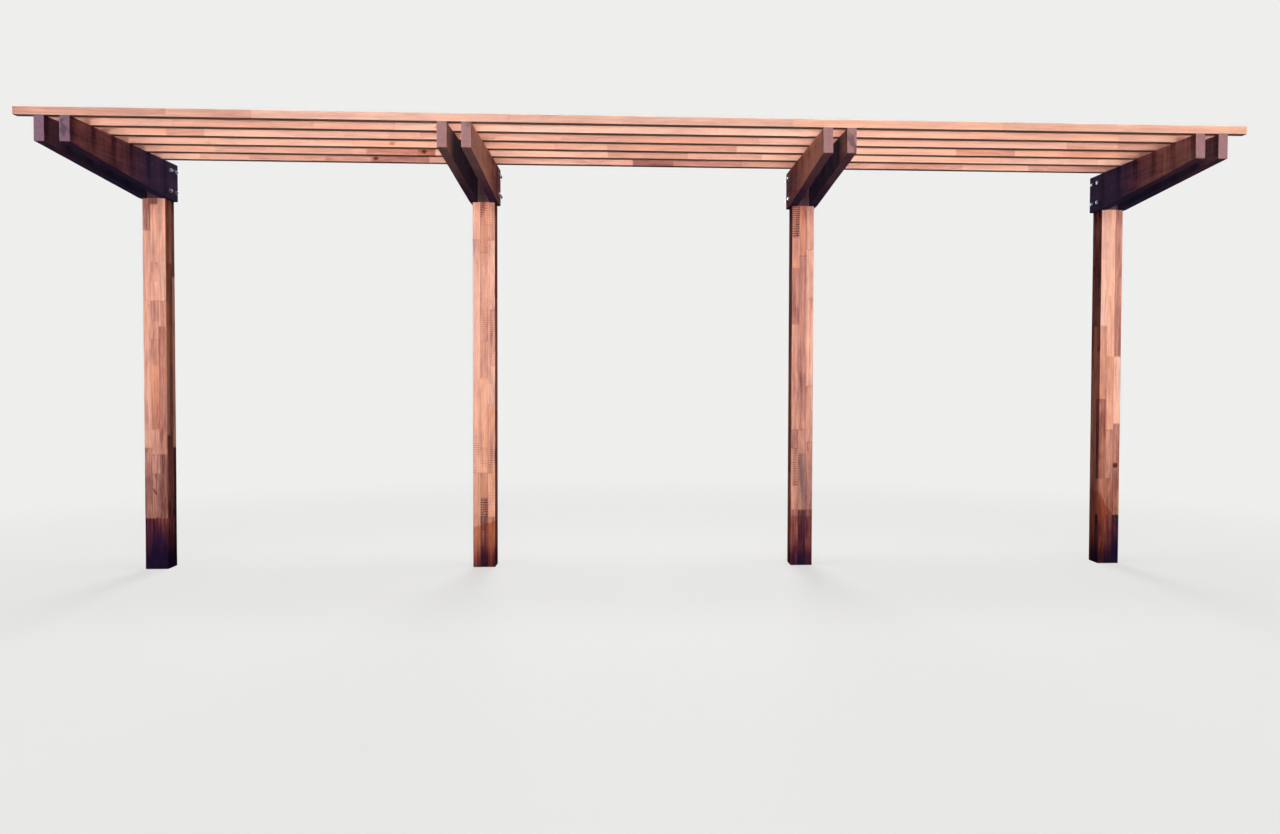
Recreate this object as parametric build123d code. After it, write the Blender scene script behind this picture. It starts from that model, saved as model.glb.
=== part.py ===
from build123d import *
import os

# A freestanding row of four laminated hardwood posts. Each post carries a pair of tapered rafters
# that reach out in front like an arm, and six battens lie across all the rafter pairs.
# X runs along the row, -Y is the side the rafters reach towards, Z is up from the ground.
# The origin is the middle of the first post's foot, at ground level.

# posts
post_count = 4
post_spacing = 1670.0
post_side = 115.0
post_shoulder = 1900.0          # ground to the ledges that carry the rafters
post_arris = 4.0                # radius along the long edges
ledge_width = 26.5              # timber cut from each side of the head, leaving the tongue

# rafters, a pair to each post, one against each side of the tongue
rafter_thickness = 42.0
rafter_depth = 190.0
rafter_tip_depth = 110.0
rafter_reach = 1010.0           # front of the post to the plumb-cut tip
rafter_tail = 10.0              # back of the post to the square-cut heel
rafter_level_run = 5.0          # level underside in front of the post, before the taper begins
rafter_arris = 2.5
tongue_set_down = 6.0           # top of the tongue below the top of the rafters

# battens, laid flat across the tops of the rafters
batten_count = 6
batten_width = 42.0
batten_height = 35.0
batten_set_back = 0.0           # tip of the rafters to the front of the first batten
batten_post_gap = 20.0          # back of the last batten to the front of the posts
batten_overhang = 160.0         # middle of an end post to the ends of the battens
batten_arris = 2.5

# hexagon-headed bolts through rafter, tongue and rafter, four to a post
bolt_diameter = 10.0
bolt_hole_clearance = 0.5       # all round the shank
bolt_edge_distance = 22.5       # from the front and the back of the post
bolt_lowest = 42.5              # above the ledge
bolt_row_spacing = 105.0
washer_diameter = 21.0
washer_thickness = 2.0
hex_across_flats = 17.0
head_height = 6.4
nut_height = 8.4
thread_past_nut = 5.0

tongue_thickness = post_side - 2 * ledge_width
tongue_height = rafter_depth - tongue_set_down
pair_width = tongue_thickness + 2 * rafter_thickness
post_front = -post_side / 2
post_back = post_side / 2
rafter_top = post_shoulder + rafter_depth
rafter_tip = post_front - rafter_reach
batten_first = rafter_tip + batten_set_back + batten_width / 2
batten_last = post_front - batten_post_gap - batten_width / 2
batten_pitch = (batten_last - batten_first) / (batten_count - 1)
post_places = [number * post_spacing for number in range(post_count)]
bolt_rows = [post_shoulder + bolt_lowest, post_shoulder + bolt_lowest + bolt_row_spacing]
bolt_columns = [post_front + bolt_edge_distance, post_back - bolt_edge_distance]


def bolt_holes(middle, length):
    """Round bars along X where the four bolts of one head go through, wide enough to clear them."""
    bar = Cylinder(bolt_diameter / 2 + bolt_hole_clearance, length, rotation=(0, 90, 0))
    return [Pos(middle, y, z) * bar for y in bolt_columns for z in bolt_rows]


def post(place):
    """A square post with rounded long edges, its head cut in from both sides to a tongue."""
    section = RectangleRounded(post_side, post_side, post_arris)
    shaft = extrude(section, amount=post_shoulder + tongue_height)
    ledge = Box(ledge_width, post_side, tongue_height, align=(Align.MIN, Align.CENTER, Align.MIN))
    timber = shaft - Pos(tongue_thickness / 2, 0, post_shoulder) * ledge
    timber -= Pos(-tongue_thickness / 2 - ledge_width, 0, post_shoulder) * ledge
    timber = Pos(place, 0, 0) * timber
    for hole in bolt_holes(place, tongue_thickness * 2):
        timber -= hole
    return timber


def rafter(place, side):
    """A board on edge beside the tongue: level over the post, then its underside rises to the tip."""
    heel = post_back + rafter_tail
    taper_start = post_front - rafter_level_run
    outline = Polyline(
        (heel, post_shoulder),
        (heel, rafter_top),
        (rafter_tip, rafter_top),
        (rafter_tip, rafter_top - rafter_tip_depth),
        (taper_start, post_shoulder),
        close=True,
    )
    board = extrude(Plane.YZ * make_face(outline), amount=rafter_thickness)
    long_edges = []
    for edge in board.edges():
        along = edge.tangent_at(0)
        if abs(along.Y) > abs(along.X) + abs(along.Z):
            long_edges.append(edge)
    board = fillet(long_edges, rafter_arris)
    inner_face = tongue_thickness / 2
    start = inner_face if side > 0 else -inner_face - rafter_thickness
    board = Pos(place + start, 0, 0) * board
    for hole in bolt_holes(place + start + rafter_thickness / 2, rafter_thickness * 2):
        board -= hole
    return board


def batten(number):
    """A straight batten over every rafter, with rounded long edges."""
    length = post_places[-1] - post_places[0] + 2 * batten_overhang
    section = Plane.YZ * RectangleRounded(batten_width, batten_height, batten_arris)
    bar = extrude(section, amount=length)
    middle = batten_first + number * batten_pitch
    return Pos(post_places[0] - batten_overhang, middle, rafter_top + batten_height / 2) * bar


def bolt():
    """One bolt along X through the pair of rafters: head and washer at -X, washer and nut at +X."""
    along = Plane.YZ
    outer = pair_width / 2
    shank_start = -outer - washer_thickness - head_height
    shank_end = outer + washer_thickness + nut_height + thread_past_nut
    washer = Circle(washer_diameter / 2)
    hexagon = RegularPolygon(hex_across_flats / 2, 6, major_radius=False)
    shank = extrude(along.offset(shank_start) * Circle(bolt_diameter / 2), amount=shank_end - shank_start)
    head_washer = extrude(along.offset(-outer - washer_thickness) * washer, amount=washer_thickness)
    head = extrude(along.offset(shank_start) * hexagon, amount=head_height)
    nut_washer = extrude(along.offset(outer) * washer, amount=washer_thickness)
    nut = extrude(along.offset(outer + washer_thickness) * hexagon, amount=nut_height)
    return shank + head_washer + head + nut_washer + nut


def bolt_set(place):
    """The four bolts of one post head."""
    one = bolt()
    return Compound([Pos(place, y, z) * one for y in bolt_columns for z in bolt_rows])


os.makedirs("parts", exist_ok=True)
for number, place in enumerate(post_places, start=1):
    export_step(post(place), f"parts/post_{number}.step")
    export_step(rafter(place, -1), f"parts/rafter_{number}_left.step")
    export_step(rafter(place, 1), f"parts/rafter_{number}_right.step")
    export_step(bolt_set(place), f"parts/bolts_{number}.step")
for number in range(batten_count):
    export_step(batten(number), f"parts/batten_{number + 1}.step")
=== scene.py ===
import math
import bpy
import numpy as np
from mathutils import Matrix, Vector


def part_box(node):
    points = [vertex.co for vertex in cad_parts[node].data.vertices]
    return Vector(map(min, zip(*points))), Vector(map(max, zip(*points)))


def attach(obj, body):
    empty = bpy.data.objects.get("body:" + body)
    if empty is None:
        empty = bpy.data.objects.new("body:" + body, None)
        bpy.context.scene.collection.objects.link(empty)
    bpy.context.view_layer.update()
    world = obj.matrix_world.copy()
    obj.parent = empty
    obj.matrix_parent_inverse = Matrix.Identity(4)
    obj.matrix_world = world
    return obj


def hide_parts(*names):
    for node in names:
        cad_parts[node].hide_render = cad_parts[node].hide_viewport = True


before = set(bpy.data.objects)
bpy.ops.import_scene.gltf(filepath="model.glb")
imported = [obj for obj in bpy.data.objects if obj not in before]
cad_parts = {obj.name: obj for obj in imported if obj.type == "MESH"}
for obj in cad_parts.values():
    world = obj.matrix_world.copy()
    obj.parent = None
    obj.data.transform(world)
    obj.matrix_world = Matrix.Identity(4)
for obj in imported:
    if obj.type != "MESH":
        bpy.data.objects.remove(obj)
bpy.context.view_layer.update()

millimetre = 0.001
closeBy = 0.01 * millimetre  # places nearer to each other than this are one
halfRound = 0.3  # an arris has turned half way at this share of its radius below the face
toneStep = 0.005  # tones further apart than this belong to two lengths
nearArris = 0.6  # how much the outermost points of a side count as arris
laneEdge = 0.001  # keeps a height out of the next lane of a ramp
wearLengths = (0.12, 0.9)  # metres: the shortest and the longest wave of wear along an edge
postCount = 4
battenCount = 6
print("frame loaded,", len(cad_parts), "nodes")


def boxOf(node):
    low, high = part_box(node)
    return np.array(low), np.array(high)


def centresOf(kind, count):
    return [np.mean(boxOf(f"{kind}_{number}"), axis=0) for number in range(1, count + 1)]


# what the whole row shares, read from the frame
postLow, postHigh = boxOf("post_1")
rafterLow, rafterHigh = boxOf("rafter_1_left")
postSide = postHigh[0] - postLow[0]
staveWidth = postSide / 3
shoulderHeight = rafterLow[2]
postCentres = centresOf("post", postCount)
battenCentres = centresOf("batten", battenCount)
battenPitch = battenCentres[1][1] - battenCentres[0][1]
tongueWidth = 2 * (postCentres[0][0] - rafterHigh[0])


# camera: worked out from the edges of the posts, rafters and battens, image taken as 1280 by 834
cameraView = {
    "place": (2.4062, -5.9199, 1.0070),
    "yaw": 0.0572,  # radians to the right of straight ahead
    "pitch": -0.0275,
    "roll": 0.0035,
    "focalPixels": 1114.93,
    "centrePixel": (689.31, 405.98),
    "imageSize": (1280, 834),
    "farthest": 200,
}


def makeCamera(view):
    lens = bpy.data.cameras.new("camera")
    wide, tall = view["imageSize"]
    lens.sensor_fit = "HORIZONTAL"
    lens.lens = view["focalPixels"] / wide * lens.sensor_width
    lens.shift_x = (wide / 2 - view["centrePixel"][0]) / wide
    lens.shift_y = (view["centrePixel"][1] - tall / 2) / wide
    lens.clip_end = view["farthest"]
    camera = bpy.data.objects.new("camera", lens)
    # a camera starts looking straight down: it rolls, is tipped up by a right angle and the pitch, then yaws
    rolled = Matrix.Rotation(view["roll"], 4, "Z")
    tipped = Matrix.Rotation(math.radians(90) + view["pitch"], 4, "X")
    yawed = Matrix.Rotation(-view["yaw"], 4, "Z")
    camera.matrix_world = Matrix.Translation(view["place"]) @ yawed @ tipped @ rolled
    bpy.context.collection.objects.link(camera)
    bpy.context.scene.camera = camera


makeCamera(cameraView)
print("camera placed")


# shader helpers

def srgb(red, green, blue, alpha=1.0):
    # a colour as seen on screen, 0 to 255, turned into the linear colour that shader sockets take
    seen = np.array([red, green, blue]) / 255
    linear = np.where(seen <= 0.04045, seen / 12.92, ((seen + 0.055) / 1.055) ** 2.4)
    return (*linear.tolist(), alpha)


class Wire:
    # what a shader socket gives out; Python's own signs between wires and numbers make Math nodes
    def __init__(self, socket):
        self.socket = socket


def addSign(method, operation):
    setattr(Wire, f"__{method}__", lambda *values: maths(operation, *values))


wireSigns = {"add": "ADD", "sub": "SUBTRACT", "mul": "MULTIPLY", "truediv": "DIVIDE",
             "gt": "GREATER_THAN", "lt": "LESS_THAN", "abs": "ABSOLUTE"}
for method, operation in wireSigns.items():
    addSign(method, operation)


def feed(node, values):
    # each named or numbered socket of the node gets a wire or a plain value
    for key, value in values.items():
        if isinstance(value, Wire):
            node.id_data.links.new(value.socket, node.inputs[key])
        else:
            node.inputs[key].default_value = value


def maths(operation, *values, clamp=False):
    # a Math node, in the tree that the first wire among the values comes from
    tree = next(value.socket.id_data for value in values if isinstance(value, Wire))
    made = tree.nodes.new("ShaderNodeMath")
    made.operation = operation
    made.use_clamp = clamp
    feed(made, dict(enumerate(values)))
    return Wire(made.outputs[0])


def bench(tree):
    # a short way to add a node to one tree: put(kind, {socket: wire or value}, setting=value)
    # gives back the wires that leave the node, by number and by name
    def put(kind, feeds=None, **settings):
        made = tree.nodes.new(kind)
        for name, value in settings.items():
            setattr(made, name, value)
        feed(made, feeds or {})
        wires = [Wire(socket) for socket in made.outputs]
        return {wire.socket.name: wire for wire in wires} | dict(enumerate(wires))
    return put


def remap(value, low, high, toLow=0.0, toHigh=1.0, smooth=True):
    put = bench(value.socket.id_data)
    return put("ShaderNodeMapRange", {"Value": value, "From Min": low, "From Max": high,
                                      "To Min": toLow, "To Max": toHigh},
               interpolation_type="SMOOTHSTEP" if smooth else "LINEAR")["Result"]


def largest(*values):
    found = values[0]
    for value in values[1:]:
        found = maths("MAXIMUM", found, value)
    return found


def held(value, low, high):
    # the value kept between two limits
    return maths("MINIMUM", maths("MAXIMUM", value, low), high)


def vectorMaths(put, operation, first, second=(0.0, 0.0, 0.0)):
    return put("ShaderNodeVectorMath", {0: first, 1: second}, operation=operation)[0]


def lengthOf(put, spot):
    return put("ShaderNodeVectorMath", {0: spot}, operation="LENGTH")[1]


def split(put, spot):
    parts = put("ShaderNodeSeparateXYZ", {0: spot})
    return parts["X"], parts["Y"], parts["Z"]


def splitColour(put, shade):
    parts = put("ShaderNodeSeparateColor", {0: shade})
    return parts[0], parts[1], parts[2]


def join(put, *parts):
    return put("ShaderNodeCombineXYZ", dict(enumerate(parts)))[0]


def noise(put, spot, stretch, detail=2.0, roughness=0.5, distortion=0.0):
    # stretch is the cycles per metre, one number for all ways or one for each of X, Y and Z
    if isinstance(stretch, float):
        stretch = (stretch, stretch, stretch)
    return put("ShaderNodeTexNoise", {"Vector": vectorMaths(put, "MULTIPLY", spot, stretch), "Scale": 1.0,
                                      "Detail": detail, "Roughness": roughness, "Distortion": distortion})[0]


def blend(put, amount, first, second, kind="MIX"):
    return put("ShaderNodeMix", {0: amount, 6: first, 7: second}, data_type="RGBA", blend_type=kind)[2]


def ramp(put, value, stops, kind="LINEAR"):
    shown = put("ShaderNodeValToRGB", {"Fac": value})["Color"]
    bands = shown.socket.node.color_ramp
    bands.interpolation = kind
    while len(bands.elements) > 1:
        bands.elements.remove(bands.elements[0])
    for count, (place, shade) in enumerate(stops):
        spot = bands.elements[0] if count == 0 else bands.elements.new(place)
        spot.position = place
        spot.color = shade
    return shown


def newGroup(name, inputs, outputs):
    # an input's starting number is given, or None for a vector; the outputs are numbers, all but "Color"
    tree = bpy.data.node_groups.new(name, "ShaderNodeTree")
    for label, value in inputs.items():
        kind = "NodeSocketVector" if value is None else "NodeSocketFloat"
        socket = tree.interface.new_socket(name=label, in_out="INPUT", socket_type=kind)
        if value is not None:
            socket.default_value = value
    for label in outputs:
        kind = "NodeSocketColor" if label == "Color" else "NodeSocketFloat"
        tree.interface.new_socket(name=label, in_out="OUTPUT", socket_type=kind)
    put = bench(tree)
    return tree, put, put("NodeGroupInput")


def useGroup(put, tree, feeds):
    return put("ShaderNodeGroup", feeds, node_tree=tree)


def boardPlace(put, given, jump):
    # every board has its own part of a pattern: the place is moved by a jump times the board's number
    moved = put("ShaderNodeVectorMath", {0: jump, "Scale": given["Board"]}, operation="SCALE")[0]
    return vectorMaths(put, "ADD", given["Vector"], moved)


# timber grain: the vector's Z runs along the grain, in metres
grainLook = {
    # each pattern's cycles per metre across and along the grain, and its detail
    "figure": (24.0, 5.0, 4.0),  # broad mottled figure
    "fibre": (95.0, 3.0, 2.0),
    "fineFibre": (270.0, 8.0, 1.0),
    "ladder": (26.0, 14.0, 2.0),  # where the planer's chatter marks show, broken up across the grain
    "pores": (480.0, 24.0, 1.0),
    "roughness": 0.6,
    "distortion": 0.6,  # of the figure
    "figureRange": (0.30, 0.70),
    "coarseShare": 0.65,  # how much of the fibre is coarse
    "ladderPitch": 0.0118,  # metres from one mark to the next
    "ladderWander": (16.0, 0.02),  # cycles per metre, and metres to and fro
    "ladderCrests": (0.45, 0.95),  # the part of the wave that marks the timber
    "ladderZones": (0.42, 0.60),
    "poreRange": (0.60, 0.70),
    "jump": (3.71, 5.33, 1.93),
}


def makeGrainGroup(look):
    tree, put, given = newGroup("timberGrain", {"Vector": None, "Board": 0.0, "Crossed": 0.0},
                                ["Figure", "Fibre", "Ladder", "Pores", "Height"])
    moved = boardPlace(put, given, look["jump"])

    def pattern(name, distortion=0.0):
        across, along, detail = look[name]
        return noise(put, moved, (across, across, along), detail, look["roughness"], distortion)

    figure = remap(pattern("figure", look["distortion"]), *look["figureRange"], smooth=False)
    coarse = look["coarseShare"]
    fibre = pattern("fibre") * coarse + pattern("fineFibre") * (1 - coarse)
    # chatter marks: the crests of a wave along the grain, where a noise lets them through
    cycles, sway = look["ladderWander"]
    phase = noise(put, moved, cycles) * sway + split(put, moved)[2]
    wave = maths("SINE", phase * (math.tau / look["ladderPitch"]))
    zone = largest(remap(pattern("ladder"), *look["ladderZones"]), given["Crossed"])
    pores = remap(pattern("pores"), *look["poreRange"])
    ladder = remap(wave, *look["ladderCrests"]) * zone
    put("NodeGroupOutput", {"Figure": figure, "Fibre": fibre, "Ladder": ladder, "Pores": pores,
                            "Height": fibre - pores})
    return tree


# the timber's own colours by tone, 0 to 1: a rosy and a tan heartwood, and the same two soaked
timberTones = {
    "rosy": {0.00: (38, 22, 36), 0.12: (66, 36, 42), 0.25: (101, 58, 55), 0.40: (147, 95, 86),
             0.55: (189, 129, 117), 0.70: (216, 160, 142), 0.85: (237, 184, 163), 1.00: (251, 204, 181)},
    "tan": {0.00: (38, 20, 30), 0.12: (66, 33, 35), 0.25: (101, 55, 44), 0.40: (147, 85, 70),
            0.55: (190, 119, 98), 0.70: (217, 149, 121), 0.85: (237, 169, 140), 1.00: (251, 191, 160)},
    "wine": {0.00: (36, 22, 50), 0.15: (66, 34, 51), 0.30: (98, 46, 55), 0.45: (142, 80, 76),
             0.60: (176, 108, 98), 0.80: (206, 140, 124), 1.00: (228, 162, 142)},
    "amber": {0.00: (38, 18, 36), 0.15: (66, 28, 34), 0.30: (98, 43, 36), 0.45: (142, 70, 50),
              0.60: (176, 93, 67), 0.80: (206, 128, 92), 1.00: (228, 152, 110)},
}
# how far each part of the grain moves the tone up or down, and the figure the warmth
toneSwing = {"figure": 0.20, "fibre": 0.55, "ladder": -0.28, "pores": -0.07, "warmth": 0.9}


def makeToneGroup(tones, swing):
    tree, put, given = newGroup(
        "timberTone",
        {"Tone": 0.6, "Warmth": 0.5, "Soaked": 0.0, "Figure": 0.5, "Fibre": 0.5, "Ladder": 0.0, "Pores": 0.0,
         "Contrast": 1.0},
        ["Color", "Tone"])
    figure = given["Figure"] - 0.5
    lines = (given["Fibre"] - 0.5) * swing["fibre"] + figure * swing["figure"]
    marks = given["Ladder"] * swing["ladder"] + given["Pores"] * swing["pores"]
    tone = maths("ADD", (lines + marks) * given["Contrast"], given["Tone"], clamp=True)
    warmth = maths("ADD", figure * swing["warmth"], given["Warmth"], clamp=True)

    def shades(name):
        return ramp(put, tone, [(place, srgb(*seen)) for place, seen in tones[name].items()])

    dry = blend(put, warmth, shades("rosy"), shades("tan"))
    soaked = blend(put, warmth, shades("wine"), shades("amber"))
    put("NodeGroupOutput", {"Color": blend(put, given["Soaked"], dry, soaked), "Tone": tone})
    return tree


# fingers of a finger joint: a sawtooth line that a joint follows across the board
fingerLook = {"pitch": 0.004, "length": 0.010}


def makeFingerGroup(look):
    tree, put, given = newGroup("fingerJoint", {"Along": 0.0, "Across": 0.0, "Pitch": look["pitch"],
                                                "Length": look["length"]}, ["Along"])
    halfPitch = given["Pitch"] * 0.5
    lean = maths("PINGPONG", given["Across"], halfPitch) / halfPitch
    put("NodeGroupOutput", {"Along": (lean - 0.5) * given["Length"] + given["Along"]})
    return tree


# damp at the foot: a water line that wanders a little, and how far below it a point lies
dampLook = {
    "line": 0.25,
    "ragged": 0.03,
    "edge": 0.006,
    "rise": 0.16,  # how far above the line moisture is drawn up
    "streaks": (60.0, 60.0, 3.0),
    "detail": 3.0,
}


def makeDampGroup(look):
    tree, put, given = newGroup(
        "dampFoot",
        {"Vector": None, "Height": 0.0, "Line": look["line"], "Ragged": look["ragged"], "Edge": look["edge"]},
        ["Damp", "Depth", "Above"])
    wander = noise(put, given["Vector"], look["streaks"], look["detail"]) - 0.5
    below = wander * given["Ragged"] + given["Line"] - given["Height"]
    rising = remap(below, -look["rise"], 0.0)
    put("NodeGroupOutput", {"Damp": remap(below / given["Edge"], -1.0, 1.0), "Depth": largest(below, 0.0),
                            "Above": rising})
    return tree


# sawn end grain: growth rings round a pith that lies off the board, and fine dark rays
endGrainLook = {
    "rings": 240.0,  # growth rings in a metre
    "pith": (0.06, 0.11, 0.0),
    "wobble": (30.0, 0.02),  # cycles per metre, and metres to and fro
    "rays": (40.0, 14.0),  # cycles round the pith, and per metre away from it
    "rayRange": (0.60, 0.68),
    "ringRelief": 0.3,  # height of the rings against the depth of the rays
    "jump": (0.031, 0.047, 0.0),
}


def makeEndGrainGroup(look):
    tree, put, given = newGroup("endGrain", {"Vector": None, "Board": 0.0, "Rings": look["rings"]},
                                ["Rings", "Checks", "Height"])
    moved = boardPlace(put, given, look["jump"])
    cycles, sway = look["wobble"]
    wobble = noise(put, moved, cycles)
    fromPith = vectorMaths(put, "SUBTRACT", moved, look["pith"])
    flat = vectorMaths(put, "MULTIPLY", fromPith, (1.0, 1.0, 0.0))
    radius = lengthOf(put, flat)
    phase = (wobble * sway + radius) * given["Rings"]
    rings = maths("SINE", phase * math.tau) * 0.5 + 0.5
    across, up, unused = split(put, flat)
    around, outward = look["rays"]
    fan = join(put, maths("ARCTAN2", up, across) * around, radius * outward)
    checks = remap(noise(put, fan, 1.0), *look["rayRange"])
    put("NodeGroupOutput", {"Rings": rings, "Checks": checks, "Height": rings * look["ringRelief"] - checks})
    return tree


grainGroup = makeGrainGroup(grainLook)
toneGroup = makeToneGroup(timberTones, toneSwing)
fingerGroup = makeFingerGroup(fingerLook)
dampGroup = makeDampGroup(dampLook)
endGrainGroup = makeEndGrainGroup(endGrainLook)
print("grain groups made")


def newMaterial(name):
    material = bpy.data.materials.new(name)
    material.use_nodes = True
    material.node_tree.nodes.clear()
    put = bench(material.node_tree)
    return material, put, put("ShaderNodeTexCoord")["Object"]


def centred(put, place, origin):
    # the place as seen from the origin
    return put("ShaderNodeMapping", {"Vector": place, "Location": tuple(-float(part) for part in origin)})[0]


def newTimber(name, origin):
    # a material, what adds its nodes, the place as seen from the origin, and that place's X, Y and Z
    material, put, place = newMaterial(name)
    local = centred(put, place, origin)
    return material, put, local, *split(put, local)


# the arris share of each point; timber tones lighten rounded edges by it, as wear and as painted highlight
def arrisOf(put):
    return put("ShaderNodeAttribute", attribute_name="arris")["Fac"]


def finishMaterial(put, shade, roughness, height, look):
    strength, distance = look["bump"]
    raised = put("ShaderNodeBump", {"Height": height, "Strength": strength, "Distance": distance})[0]
    shader = put("ShaderNodeBsdfPrincipled", {
        "Base Color": shade, "Roughness": roughness, "Normal": raised,
        "Metallic": look.get("metallic", 0.0), "Specular IOR Level": look["specular"]})[0]
    put("ShaderNodeOutputMaterial", {"Surface": shader})


def timberColour(put, grain, tone, warmth, contrast, soaked=0.0, ladder=0.0):
    return useGroup(put, toneGroup, {
        "Tone": tone, "Warmth": warmth, "Soaked": soaked, "Figure": grain["Figure"], "Fibre": grain["Fibre"],
        "Ladder": ladder, "Pores": grain["Pores"], "Contrast": contrast})["Color"]


lightChatter = 0.12  # on a length whose marks aren't given


def tallied(places, top):
    # (how far the length reaches, tone, warmth, chatter) made into ramp stops from where each length starts
    stops = []
    start = 0.0
    for reach, tone, warmth, *chatter in places:
        stops.append((start / top, (tone, warmth, chatter[0] if chatter else lightChatter, 1.0)))
        start = reach
    return stops


# posts: nine staves, three by three, each made of finger-jointed lengths
# A stave is named by its place: left, middle, right across the front, then front, middle, back.
# Each list runs up from the ground: (height in metres that the length reaches, tone, warmth), both 0 to 1,
# and a fourth number where the planer has left its chatter marks, short dark lines across the grain.
postStaves = {
    1: {"left front": [(0.26, 0.38, 0), (0.46, 0.5, 0.1), (0.6, 0.5, 0), (1.72, 0.7, 0.2),
                       (2.1, 0.5, 0)],
        "middle front": [(0.26, 0.31, 0), (0.46, 0.5, 0), (0.56, 0.65, 0), (0.7, 0.7, 0.2),
                         (1.02, 0.65, 0.9), (1.15, 0.6, 0.3), (1.27, 0.65, 0.3), (1.35, 0.55, 0),
                         (1.47, 0.85, 0.6), (1.57, 0.65, 0.2), (1.84, 0.75, 0.4), (2.1, 0.5, 0)],
        "right front": [(0.26, 0.37, 0.1), (0.56, 0.4, 0), (0.66, 0.55, 0.3), (1.24, 0.55, 0.5),
                        (1.35, 0.65, 0.3), (2.1, 0.8, 0.3)],
        "right outer": [(0.26, 0.5, 0.1), (0.66, 0.45, 0.2), (1.24, 0.85, 0.6), (1.35, 0.7, 0.7),
                        (2.1, 0.6, 0.8)],
        "right middle": [(0.26, 0.5, 0.1), (0.5, 0.45, 0.1), (1.04, 0.45, 0.4), (1.57, 0.5, 0.9),
                         (2.1, 0.75, 0.6)],
        "right back": [(0.26, 0.35, 0), (0.62, 0.25, 0), (1.5, 0.9, 0), (2.1, 0.45, 0)]},
    2: {"left front": [(0.23, 0.75, 0.8), (0.46, 0.85, 0.9), (0.66, 0.8, 0.5, 0.6), (0.98, 0.8, 0.5),
                       (1.7, 0.8, 0.1), (2.1, 0.85, 0.4)],
        "middle front": [(0.24, 0.5, 0.4, 0.5), (0.36, 0.55, 0.6, 1), (0.46, 0.65, 0.8),
                         (0.6, 0.85, 1, 0.6), (0.98, 0.8, 0.8), (1.16, 0.65, 0.3),
                         (1.39, 0.7, 0.4, 0.4), (1.64, 0.7, 0.2), (2.1, 0.65, 0.7, 0.6)],
        "right front": [(0.235, 0.65, 0.8), (0.46, 0.9, 0.9, 0.4), (0.6, 0.75, 0.7, 0.6), (0.84, 0.75, 0.8),
                        (1.05, 0.8, 0), (1.34, 0.7, 0.1, 0.4), (1.68, 0.75, 0), (2.1, 0.7, 0.4, 0.5)],
        "right middle": [(0.8, 0.5, 0.4), (1.4, 0.6, 0.5), (2.1, 0.46, 0.5)],
        "right back": [(1.1, 0.6, 0.5), (2.1, 0.5, 0.5)]},
    3: {"left front": [(0.265, 0.54, 0.1), (0.4, 0.7, 0.5), (0.6, 0.65, 0.5, 0.6), (0.72, 0.55, 0.1),
                       (1.275, 0.65, 0.2), (1.56, 0.55, 0), (1.72, 0.7, 0.5), (2.1, 0.5, 0.4, 1)],
        "middle front": [(0.27, 0.32, 0), (0.56, 0.6, 0), (0.72, 0.65, 0.3), (1.275, 0.55, 0.2),
                         (1.61, 0.55, 0.1), (2.1, 0.6, 0.8)],
        "right front": [(0.265, 0.42, 0.1), (0.4, 0.55, 0), (0.645, 0.55, 0), (0.94, 0.65, 0.1),
                        (1.4, 0.75, 0.1, 0.1), (1.66, 0.8, 0, 0.6), (2.1, 0.7, 0.1)],
        "left middle": [(0.46, 0.66, 0.6), (1.2, 0.54, 0.4), (2.1, 0.46, 0.5)],
        "left back": [(0.7, 0.5, 0.4), (1.5, 0.56, 0.5), (2.1, 0.46, 0.5)]},
    4: {"left front": [(0.45, 0.55, 1), (0.855, 0.5, 0.8), (1.12, 0.65, 0.7), (1.27, 0.65, 0.4),
                       (1.61, 0.9, 0.1), (2.1, 0.8, 0)],
        "middle front": [(0.25, 0.48, 0.4), (0.45, 0.55, 1), (0.72, 0.65, 0.5), (1.09, 0.75, 1),
                         (1.42, 0.9, 0.9), (2.1, 0.95, 0.5)],
        "right front": [(0.25, 0.2, 0), (0.45, 0.5, 0.9), (0.73, 0.5, 0.3), (1.1, 0.95, 0.5),
                        (1.42, 0.55, 0.3), (2.1, 0.6, 0.4)],
        "left outer": [(0.25, 0.45, 0.2), (0.45, 0.65, 0.7), (0.86, 0.4, 0.1), (1.12, 0.55, 0.5),
                       (2.1, 0.4, 0)],
        "left middle": [(0.55, 0.6, 0.4), (1.25, 0.6, 0.5), (2.1, 0.38, 0)],
        "left back": [(0.8, 0.6, 0.5), (1.04, 0.55, 0), (2.1, 0.42, 0)]},
}
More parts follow.
